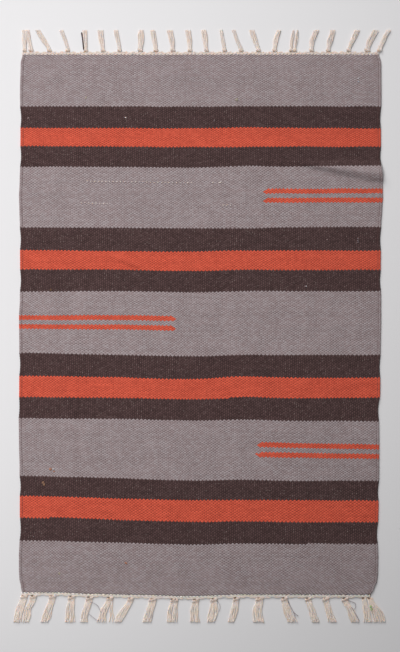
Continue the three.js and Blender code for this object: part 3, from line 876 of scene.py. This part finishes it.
class YarnBundle:
    """Tubes of yarn for one mesh. Each point knows how much shade is painted on it, from how deep in its
    yarn it lies and what is added along the line, and its strand's tone.
    """

    def __init__(self):
        self.points, self.faces, self.depths, self.tones, self.count = [], [], [], [], 0

    def tube(self, line, radius, sides, upward, tone=1.0, axis=None, reach=1.0, shaded=0.0):
        """A closed tube along a line, in millimetres; upward is a direction that the line never follows"""
        line = np.asarray(line, float)
        ahead, side, top, _ = directions(line, upward)
        turns = np.arange(sides) * 2 * math.pi / sides
        radius = np.broadcast_to(radius, len(line))
        ring = side[:, None] * np.cos(turns)[None, :, None] + top[:, None] * np.sin(turns)[None, :, None]
        rings = line[:, None] + ring * radius[:, None, None]
        ends = np.stack([line[0] - ahead[0] * radius[0] * 0.6, line[-1] + ahead[-1] * radius[-1] * 0.6])
        # Painted shade: darker near the yarn's own axis, between its plies, with what shaded adds along the
        # line
        depth = np.zeros(rings.shape[:2])
        if axis is not None:
            from_axis = np.linalg.norm(rings - axis[:, None], axis=2) / reach[:, None]
            depth = 1 - ease((from_axis - 0.15) / 0.7)
        depth = np.clip(depth + np.broadcast_to(shaded, len(line))[:, None], 0, 2)
        start, last = self.count, self.count + (len(line) - 1) * sides
        pairs = [(k, (k + 1) % sides) for k in range(sides)]
        for low in range(start, last, sides):
            self.faces += [(low + k, low + m, low + sides + m, low + sides + k) for k, m in pairs]
        for k, m in pairs:
            self.faces += [(start + m, start + k, last + sides), (last + k, last + m, last + sides + 1)]
        self.points.append(np.concatenate([rings.reshape(-1, 3), ends]))
        self.depths.append(np.concatenate([depth.ravel(), depth[[0, -1]].mean(1)]))
        self.tones.append(np.full(len(line) * sides + 2, tone))
        self.count = last + sides + 2

    def yarn(self, line, radius, pitch, sides, upward, offset, turn=0.0, tone=1.0, shaded=0.0):
        """Two plies twisted round a line. offset may change along the line, where the yarn comes apart."""
        _, side, top, steps = directions(line, upward)
        travelled = np.cumsum(steps) - steps[0]
        offset = np.broadcast_to(offset, len(line))
        for ply in (0, 0.5):
            angle = turn + 2 * math.pi * (travelled / pitch + ply)
            around = side * np.cos(angle)[:, None] + top * np.sin(angle)[:, None]
            ply_line = line + around * offset[:, None]
            self.tube(ply_line, radius, sides, upward, tone, line, offset + radius, shaded)

    def mesh_object(self, name):
        mesh = bpy.data.meshes.new(name)
        mesh.from_pydata(to_frame(np.concatenate(self.points)), [], self.faces)
        mesh.polygons.foreach_set("use_smooth", np.ones(len(mesh.polygons), bool))
        for attribute, values in (("depth", self.depths), ("tone", self.tones)):
            layer = mesh.attributes.new(attribute, "FLOAT", "POINT")
            write_values(layer.data, "value", np.concatenate(values))
        piece = bpy.data.objects.new(name, mesh)
        bpy.context.scene.collection.objects.link(piece)
        return piece


UP = np.array((0, 0, 1.0))
ALONG = np.array((0, 1.0, 0))


def end_line(fringe, across):
    return border_line(fringe.border, np.asarray(across, float))


def warp_ends(fringe):
    """Where each warp leaves the cloth at an end, the cords of the side edges among them"""
    pick = FIRST_PICKS[fringe.border] - 0.5
    left, right = edge_place(-1, pick), edge_place(1, pick)
    cord = np.linspace(0.6, GROOVE - 0.3, 14)
    return np.concatenate([left + cord, warp_places(left, right, np.arange(1, WARPS)), right - cord[::-1]])


def share_out(places, tassels):
    """The warps that each tassel takes: those nearest its root, or its share where two stand close"""
    roots = np.array([row[0] for row in tassels])
    shares = np.array([row[6] for row in tassels], float)
    # Tassels whose shares add up to one stand together
    groups = np.split(np.arange(len(tassels)), np.flatnonzero(np.cumsum(shares) % 1 < 0.001) + 1)[:-1]
    centres = np.array([np.average(roots[m], weights=shares[m]) for m in groups])
    nearest = np.abs(places[:, None] - centres[None]).argmin(1)
    taken = []
    for group, members in enumerate(groups):
        mine = places[nearest == group]
        cuts = np.rint(np.cumsum(shares[members]) * len(mine)).astype(int)
        taken += np.split(mine, cuts[:-1])
    return taken


def smooth_noise(rng, share, strength, bends=4):
    """A soft wave along a strand, nothing at its start"""
    knots = np.concatenate([[0, 0], rng.normal(0, strength, bends - 1)])
    return read_curve(np.linspace(0, 1, len(knots)), knots, share)


def strand_path(fringe, place, rank, tassel, aside, layer, rng):
    """One warp end: under the heading, beside it to the root, through the knot and out to the cut line"""
    root, middle, tip, root_width, middle_width, tip_width, _ = tassel
    sideways = root - place
    nearing = root - math.copysign(min(abs(sideways), 2.0 + 0.2 * rank), sideways)
    turning = place + math.copysign(min(abs(sideways) * 0.4, 2.0), sideways)
    gathered = [
        (across, float(end_line(fringe, across)) + fringe.out * distance, z)
        for across, distance, z in (
            (place, -2.5, LOWEST + 0.1), (place, 1.2, LOWEST),
            (turning, GATHER_LINE - 0.2 + 0.06 * rank, LOWEST),
            (nearing, GATHER_LINE + 0.12 * rank, LOWEST + 0.3))]
    if abs(nearing - turning) <= 1.0:
        gathered.pop()
    # From the knot outwards
    cut = UPPER_END + fringe.cut - abs(rng.normal(0, 0.5))
    knot = fringe.out * float(end_line(fringe, root)) + KNOT_CENTRE - KNOT_LENGTH / 2
    share = np.linspace(0, 1, 10)
    stations = knot + (cut - knot) * share
    centre = read_curve((0, 0.12, 0.5, 1), (root, root + (middle - root) * 0.12, middle, tip), share)
    widths = (root_width * 0.92, root_width * 0.97, middle_width, tip_width)
    width = read_curve((0, 0.14, 0.5, 1), widths, share)
    across = centre + (width - 1.0) / 2 * aside + smooth_noise(rng, share, fringe.sway)
    z = LOWEST + layer * LAYER_RISE * (1 - 0.3 * abs(aside)) + smooth_noise(rng, share, 0.12)
    tail = np.stack([across, fringe.out * stations, np.maximum(z, LOWEST)], -1)
    return smooth_path(np.concatenate([gathered, tail]), 1.3)


def tie_knot(bundle, fringe, tassel, radius, hollow_shade_strength, rng):
    """The overhand knot at a tassel's root: turns of yarn round the strands, mostly higher on the right"""
    root, root_width = tassel[0], tassel[3]
    centre = float(end_line(fringe, root)) + fringe.out * KNOT_CENTRE
    turns = np.linspace(-0.1, KNOT_TURNS + 0.1, int(KNOT_TURNS * KNOT_POINTS))
    angle = 2 * math.pi * turns + rng.uniform(-0.4, 0.4)
    half = root_width / 2 + fringe.knot_room
    tilt = -fringe.out * rng.uniform(*fringe.knot_tilt)
    line = np.stack([
        root + half * np.cos(angle),
        centre + fringe.out * (turns / KNOT_TURNS - 0.5) * KNOT_LENGTH * 0.7 + tilt * np.cos(angle),
        np.maximum(KNOT_HEIGHT + KNOT_RISE * np.sin(angle), radius + 0.1),
    ], -1)
    # Painted shade in the knot's hollow, left of the root on the side towards the cloth
    hollow = np.exp(-((line[:, 0] - root + HOLLOW_LEFT) / 2.0) ** 2)
    hollow = hollow * (fringe.out * (line[:, 1] - centre) < -0.4)
    radius *= 1.05
    bundle.yarn(line, radius, 5.0, PLY_SIDES, ALONG, radius * PLY_GAP, tone=fringe.knot_tone,
                shaded=0.1 + hollow_shade_strength * fringe.knot_hollow_shade * hollow)


def tie_fringe(settings, fringe):
    """The warps knotted into tassels, and the heading with its two rows of twining and the knots"""
    rng = np.random.default_rng(fringe.seed)
    strands, heading = YarnBundle(), YarnBundle()
    places = warp_ends(fringe)
    radius, pitch = settings.ply_radius / MM * fringe.thickness, settings.ply_pitch / MM

    across = np.arange(places[0] - 1.2, places[-1] + 1.6, 3.0)
    for row, (distance, height, yarn, offset) in enumerate(fringe.twining):
        cord = np.stack(
            [across, end_line(fringe, across) + fringe.out * distance, np.full_like(across, height)], -1)
        heading.yarn(smooth_path(cord, 1.0), yarn, HEADING_PITCH, CORD_SIDES, UP, offset, turn=2.2 * row,
                     tone=fringe.twining_tone, shaded=-0.4)

    for tassel, warps in zip(fringe.tassels, share_out(places, fringe.tassels)):
        root = tassel[0]
        ranks = np.abs(warps - root).argsort().argsort() // 2
        # How dark the painted shade in this tassel's hollows is
        hollow_shade_strength = rng.uniform(0.5, 1.3)
        # Side by side in the order of the warps, with a few that cross, and every second or third one on top
        order = (np.arange(len(warps)) + rng.uniform(-1.6, 1.6, len(warps))).argsort().argsort()
        for place, rank, spot in zip(warps, ranks, order):
            aside = 2 * (spot + 0.5) / len(warps) - 1
            line = strand_path(fringe, place, rank, tassel, aside, spot % fringe.layers, rng)
            from_end = fringe.out * (line[:, 1] - end_line(fringe, line[:, 0]))
            past_knot = ease((from_end - 9) / 30)
            apart = radius * (PLY_GAP + fringe.loosening * past_knot * rng.uniform(0.2, 1.0))
            # Painted shade under the heading and in the hollow at the left of the knot
            hidden = 1 - ease((from_end - 0.6) / 1.2)
            tucked = np.exp(-((from_end - fringe.hollow_at) / 1.3) ** 2)
            beside = np.exp(-((line[:, 0] - root + HOLLOW_LEFT) / 1.9) ** 2)
            shaded = hidden + tucked * hollow_shade_strength * (0.4 + fringe.hollow_shade * beside)
            strands.yarn(line, radius, pitch, PLY_SIDES, UP, apart, turn=rng.uniform(0, 6.28),
                         tone=rng.uniform(0.94, 1.06) * fringe.tone, shaded=shaded + fringe.shade)
        if root < fringe.undone_from:
            tie_knot(heading, fringe, tassel, radius, hollow_shade_strength, rng)
    return strands, heading


def stick_flecks(kind, flecks):
    """Bits of lint and slubs of one colour, each a small squashed lump on the cloth"""
    rng = random.Random(5)
    lumps, flecks = [], list(flecks)
    if kind == "pale":
        for start, end, gap, usual in PALE_ROWS:
            length = end[0] - start[0]
            for k in range(int(length / gap) + 1):
                share = k * gap / length
                along = start[1] + (end[1] - start[1]) * share
                flecks.append((start[0] + k * gap, along, usual * rng.uniform(0.7, 1.3), PALE_WIDTH))
    for across, along, length, width in flecks:
        bpy.ops.mesh.primitive_ico_sphere_add(subdivisions=2, radius=1)
        lump = bpy.context.active_object
        angle = rng.uniform(-0.6, 0.9)
        turn = np.array(((math.cos(angle), -math.sin(angle)), (math.sin(angle), math.cos(angle))))
        points = read_values(lump.data.vertices, "co", float, 3)
        points *= 1 + np.array([rng.uniform(-0.18, 0.18) for _ in points])[:, None]
        flat = (points[:, :2] * (length / 2, width / 2)) @ turn.T
        top = (FLECK_TOP if abs(along) < UPPER_END else FRINGE_FLECK_TOP) + points[:, 2] * 0.55
        write_values(lump.data.vertices, "co", to_frame(np.column_stack([flat + (across, along), top])))
        lumps.append(lump)
    join_pieces(lumps)
    piece = bpy.context.active_object
    piece.name = piece.data.name = kind + "_flecks"
    edit_mesh("SELECT", bpy.ops.mesh.normals_make_consistent, inside=False)
    bpy.ops.object.shade_smooth()
    return piece


class KILIM_OT_weave_cloth(bpy.types.Operator):
    """Weaves the striped cloth with its corded side edges and its ripples"""
    bl_idname = "kilim.weave_cloth"
    bl_label = "Weave Cloth"

    def execute(self, context):
        cloth = weave_cloth(context.scene.kilim)
        place_piece(cloth, woven_material(context.scene.kilim))
        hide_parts("woven_ground")
        return {"FINISHED"}


class KILIM_OT_tie_fringes(bpy.types.Operator):
    """Ties the warp ends past both ends of the cloth into tassels"""
    bl_idname = "kilim.tie_fringes"
    bl_label = "Tie Fringes"

    def execute(self, context):
        settings = context.scene.kilim
        cotton = cotton_material("ecru_cotton", settings.ecru, ECRU_SHADE)
        for end, fringe in FRINGES.items():
            strands, heading = tie_fringe(settings, fringe)
            tassels = strands.mesh_object(end + "_fringe_yarn")
            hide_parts(end + "_fringe")
            for piece in (tassels, heading.mesh_object(end + "_heading")):
                place_piece(piece, cotton)
        return {"FINISHED"}


class KILIM_OT_lay_threads(bpy.types.Operator):
    """Lays the loose thread ends that cling to the fringes"""
    bl_idname = "kilim.lay_threads"
    bl_label = "Lay Loose Threads"

    def execute(self, context):
        for shade, (colour, threads) in LOOSE_THREADS.items():
            bundle = YarnBundle()
            for radius, places in threads:
                points = [(*place, THREAD_HEIGHT if k else THREAD_START) for k, place in enumerate(places)]
                bundle.tube(smooth_path(points, 1.2), radius, THREAD_SIDES, UP)
            material = cotton_material(shade + "_thread", colour, [part * THREAD_SHADE for part in colour])
            place_piece(bundle.mesh_object(shade + "_thread_ends"), material)
        return {"FINISHED"}


class KILIM_OT_stick_flecks(bpy.types.Operator):
    """Sticks the flecks of lint and the slubs on the cloth"""
    bl_idname = "kilim.stick_flecks"
    bl_label = "Stick Flecks"

    def execute(self, context):
        for kind, (colour, flecks) in FLECKS.items():
            # The pale ones are bare warp
            colour = colour or with_alpha(context.scene.kilim.ecru, 0.8)[:3]
            shade = [part * FLECK_SHADE for part in colour]
            material = cotton_material(kind + "_fleck", colour, shade, spun=False)
            place_piece(stick_flecks(kind, flecks), material)
        return {"FINISHED"}


class KILIM_OT_declare_cloth(bpy.types.Operator):
    """Does nothing; the scene stays as it is"""
    bl_idname = "kilim.declare_cloth"
    bl_label = "Declare Cloth"

    def execute(self, context):
        return {"FINISHED"}


class KILIM_OT_set_stage(bpy.types.Operator):
    """Lays the floor, and sets the camera and the lights"""
    bl_idname = "kilim.set_stage"
    bl_label = "Set Stage"

    def execute(self, context):
        settings, scene = context.scene.kilim, context.scene
        bpy.ops.mesh.primitive_plane_add(size=FLOOR_SIZE, location=(0, 0, -FLOOR_DROP))
        floor = context.active_object
        floor.name = "floor"
        shader = Shader("pale_floor")
        cloud = shader.noise(shader.add("TexCoord", output="Object"), 3.0, 2.0)
        pale, clouded = with_alpha(settings.floor_colour), with_alpha(settings.floor_colour, 0.9)
        colour = shader.mix(cloud * 0.1, pale, clouded)
        floor.data.materials.append(shader.finish({"Base Color": colour, "Roughness": 0.85}))

        x, y, z = to_frame([*VIEW_CENTRE, settings.thickness / MM])
        distance = VIEW_LENGTH * MM * settings.lens / SENSOR
        bpy.ops.object.camera_add(location=(x, y, z + distance), rotation=(0, 0, 0))
        scene.camera = context.active_object
        scene.camera.data.lens = settings.lens
        scene.camera.data.sensor_width = SENSOR
        scene.camera.data.clip_end = 30

        for name, (kind, place, faces, size, share) in LIGHTS.items():
            bpy.ops.object.light_add(type=kind, location=place)
            lamp = context.active_object
            lamp.name = name
            lamp.data.energy = settings.key_power * share
            if kind == "SPOT":
                lamp.data.shadow_soft_size = size
                lamp.data.spot_size = SPOT_CONE
                lamp.data.spot_blend = 1
            else:
                lamp.data.size = size
            lamp.rotation_euler = (Vector(place) - Vector(faces)).to_track_quat("Z", "Y").to_euler()

        scene.world = bpy.data.worlds.new("studio")
        scene.world.use_nodes = True
        sky = scene.world.node_tree.nodes["Background"]
        sky.inputs["Color"].default_value = (1, 1, 1, 1)
        sky.inputs["Strength"].default_value = settings.fill_strength
        scene.view_settings.view_transform = "Standard"
        return {"FINISHED"}


class KILIM_PT_panel(bpy.types.Panel):
    """Lists the rug's sizes, colours and pieces"""
    bl_idname = "KILIM_PT_panel"
    bl_label = "Kilim Rug"
    bl_space_type = "VIEW_3D"
    bl_region_type = "UI"
    bl_category = "Kilim"

    def draw(self, context):
        for name in Settings.__annotations__:
            self.layout.prop(context.scene.kilim, name)
        for operator in OPERATORS:
            self.layout.operator(operator.bl_idname)


OPERATORS = (
    KILIM_OT_set_stage, KILIM_OT_weave_cloth, KILIM_OT_tie_fringes, KILIM_OT_lay_threads,
    KILIM_OT_stick_flecks, KILIM_OT_declare_cloth,
)
CLASSES = (Settings, *OPERATORS, KILIM_PT_panel)


def register():
    for item in CLASSES:
        bpy.utils.register_class(item)
    bpy.types.Scene.kilim = bpy.props.PointerProperty(type=Settings)


def unregister():
    del bpy.types.Scene.kilim
    for item in reversed(CLASSES):
        bpy.utils.unregister_class(item)


def main():
    register()
    bpy.ops.kilim.set_stage()
    bpy.ops.kilim.weave_cloth()
    bpy.ops.kilim.tie_fringes()
    bpy.ops.kilim.lay_threads()
    bpy.ops.kilim.stick_flecks()
    bpy.ops.kilim.declare_cloth()


if __name__ == "__main__":
    main()
